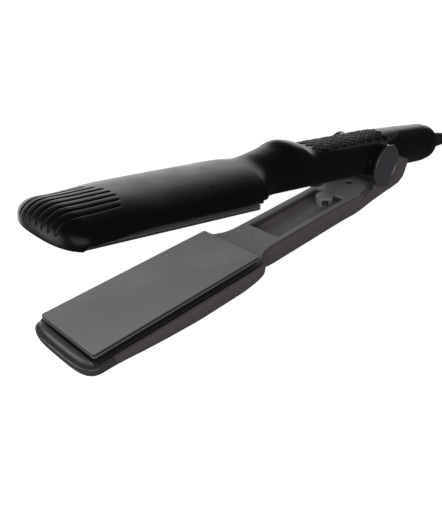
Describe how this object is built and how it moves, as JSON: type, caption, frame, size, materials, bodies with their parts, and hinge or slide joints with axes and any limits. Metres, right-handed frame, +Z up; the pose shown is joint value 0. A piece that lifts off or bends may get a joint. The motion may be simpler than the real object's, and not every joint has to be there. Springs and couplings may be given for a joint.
{
  "type": "hair straightening iron",
  "caption": "Two-arm hair straightening iron with wide flat plates, hinged at the rear and sprung open, black casing with a ribbed nose and diamond grip, swivel cord tied in a hank.",
  "frame": {"origin": "centre of the iron's footprint on the surface it lies on, without the cord", "axes": "+X from the nose towards the cord end, +Y across the arms, +Z up"},
  "size_m": [0.4903, 0.0605, 0.0741],
  "materials": {
    "casing": "satin black",
    "lower_casing": "glossy charcoal",
    "inner_face": "flat mid grey",
    "grip": "soft black with light diamond ridges",
    "plate": "smooth warm grey ceramic coat",
    "carrier": "dark heat-resistant plastic",
    "control": "satin black",
    "cap": "purple grey, polished",
    "steel": "bright",
    "heater": "ceramic white",
    "insulation": "silicone",
    "board": "green laminate",
    "wire": "insulated wire",
    "lens": "red",
    "blade": "bright",
    "tie": "black strap",
    "moulded_rubber": "satin black",
    "cord": "satin black"
  },
  "bodies": {
    "upper_arm": {"upper_shell": "casing", "upper_inner_cover": "inner_face", "grip_pad": "grip", "upper_plate_carrier": "carrier", "upper_nose_insert": "carrier", "switch_bezel": "control", "dial_potentiometer": "board", "indicator_lens": "lens", "circuit_board": "board", "heater_leads": "wire", "inner_mains_lead": "wire", "hinge_bushing": "steel", "torsion_spring": "steel", "tail_ring": "casing", "upper_cover_screw_front": "steel", "upper_cover_screw_rear": "steel", "cord_lead": "cord", "cord_hank": "cord", "cord_tail": "cord", "cord_tie": "tie", "plug_relief": "moulded_rubber", "plug_body": "moulded_rubber", "plug_blade_near": "blade", "plug_blade_far": "blade"},
    "upper_plate_float": {"upper_plate": "plate", "upper_heater": "heater", "upper_insulator": "insulation", "thermistor": "heater", "thermal_fuse": "steel", "upper_float_pad_front_near": "insulation", "upper_float_pad_front_far": "insulation", "upper_float_pad_rear_near": "insulation", "upper_float_pad_rear_far": "insulation"},
    "lower_arm": {"lower_shell": "lower_casing", "lower_inner_cover": "inner_face", "slotted_post": "inner_face", "lower_plate_carrier": "carrier", "lower_nose_insert": "carrier", "lower_cover_screw_front": "steel", "lower_cover_screw_rear": "steel", "hinge_pin": "steel", "hinge_cap_near": "cap", "hinge_cap_far": "cap"},
    "lower_plate_float": {"lower_plate": "plate", "lower_heater": "heater", "lower_insulator": "insulation", "lower_float_pad_front_near": "insulation", "lower_float_pad_front_far": "insulation", "lower_float_pad_rear_near": "insulation", "lower_float_pad_rear_far": "insulation"},
    "power_rocker": {"power_rocker": "control"},
    "temperature_dial": {"temperature_dial": "control"},
    "cord_swivel": {"swivel_sleeve": "casing", "strain_relief": "moulded_rubber"}
  },
  "joints": [
    {"name": "arm_hinge", "type": "hinge", "parent": "upper_arm", "child": "lower_arm", "pos_m": [0.04955, 0, 0.0264], "axis": [0, 1, 0], "range_deg": [0, 12.2], "stiffness_Nm_per_rad": 0.6, "springref_deg": -34.38},
    {"name": "upper_plate_press", "type": "slide", "parent": "upper_arm", "child": "upper_plate_float", "axis": [0.2113, 0, 0.9774], "range_m": [0, 0.0006], "stiffness_N_per_m": 2500, "springref_m": -0.0006},
    {"name": "lower_plate_press", "type": "slide", "parent": "lower_arm", "child": "lower_plate_float", "axis": [0, 0, -1], "range_m": [0, 0.0006], "stiffness_N_per_m": 2500, "springref_m": -0.0006},
    {"name": "power_switch", "type": "hinge", "parent": "upper_arm", "child": "power_rocker", "pos_m": [-0.02524, 0, 0.04011], "axis": [0, 1, 0], "range_deg": [0, 12]},
    {"name": "temperature_turn", "type": "hinge", "parent": "upper_arm", "child": "temperature_dial", "pos_m": [-0.00046, 0, 0.03169], "axis": [-0.2113, 0, -0.9774], "range_deg": [0, 270]},
    {"name": "cord_swivel_turn", "type": "hinge", "parent": "upper_arm", "child": "cord_swivel", "pos_m": [0.12478, 0, 0.01474], "axis": [0.9774, 0, -0.2113], "continuous": true}
  ]
}
